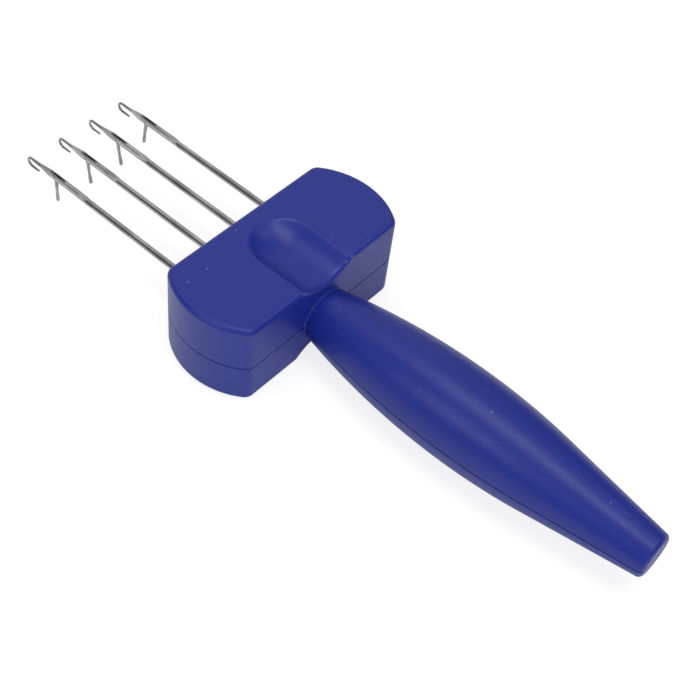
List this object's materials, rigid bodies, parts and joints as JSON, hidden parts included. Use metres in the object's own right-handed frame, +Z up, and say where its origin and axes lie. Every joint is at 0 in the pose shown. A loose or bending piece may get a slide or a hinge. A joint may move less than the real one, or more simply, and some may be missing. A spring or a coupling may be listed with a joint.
{
  "type": "latch hook tool",
  "caption": "Row of hooked needles with swinging latches, clamped in a wide moulded head with thumb scoops on a spindle-shaped handle.",
  "frame": {"origin": "under the middle of the tool's box, on the surface the tool rests on", "axes": "+X along the tool from the handle's end towards the hooks, +Y to the tool's left, +Z up, out of the upper head shell"},
  "size_m": [0.1799, 0.0588, 0.0241],
  "materials": {
    "blue_plastic": "moulded, semi-matte",
    "needle_steel": "nickel-plated, polished",
    "rivet_steel": "cut ends, dull",
    "screw_steel": "zinc-plated"
  },
  "bodies": {
    "tool": {"head_upper_shell": "blue_plastic", "head_lower_shell": "blue_plastic", "handle_upper_half": "blue_plastic", "handle_lower_half": "blue_plastic", "needle_1": "needle_steel", "needle_2": "needle_steel", "needle_3": "needle_steel", "needle_4": "needle_steel", "latch_rivet_1": "rivet_steel", "latch_rivet_2": "rivet_steel", "latch_rivet_3": "rivet_steel", "latch_rivet_4": "rivet_steel", "head_screws": "screw_steel", "handle_screws": "screw_steel"},
    "latch_1_body": {"latch_1": "needle_steel"},
    "latch_2_body": {"latch_2": "needle_steel"},
    "latch_3_body": {"latch_3": "needle_steel"},
    "latch_4_body": {"latch_4": "needle_steel"}
  },
  "joints": [
    {"name": "latch_1_hinge", "type": "hinge", "parent": "tool", "child": "latch_1_body", "pos_m": [0.07905, 0.01524, 0.0113], "axis": [0, -1, 0], "range_deg": [-78, 63.2]},
    {"name": "latch_2_hinge", "type": "hinge", "parent": "tool", "child": "latch_2_body", "pos_m": [0.07905, 0.00508, 0.0113], "axis": [0, -1, 0], "range_deg": [-71.5, 69.7]},
    {"name": "latch_3_hinge", "type": "hinge", "parent": "tool", "child": "latch_3_body", "pos_m": [0.07905, -0.00508, 0.0113], "axis": [0, -1, 0], "range_deg": [-69.5, 71.7]},
    {"name": "latch_4_hinge", "type": "hinge", "parent": "tool", "child": "latch_4_body", "pos_m": [0.07905, -0.01524, 0.0113], "axis": [0, -1, 0], "range_deg": [-86, 55.2]}
  ]
}
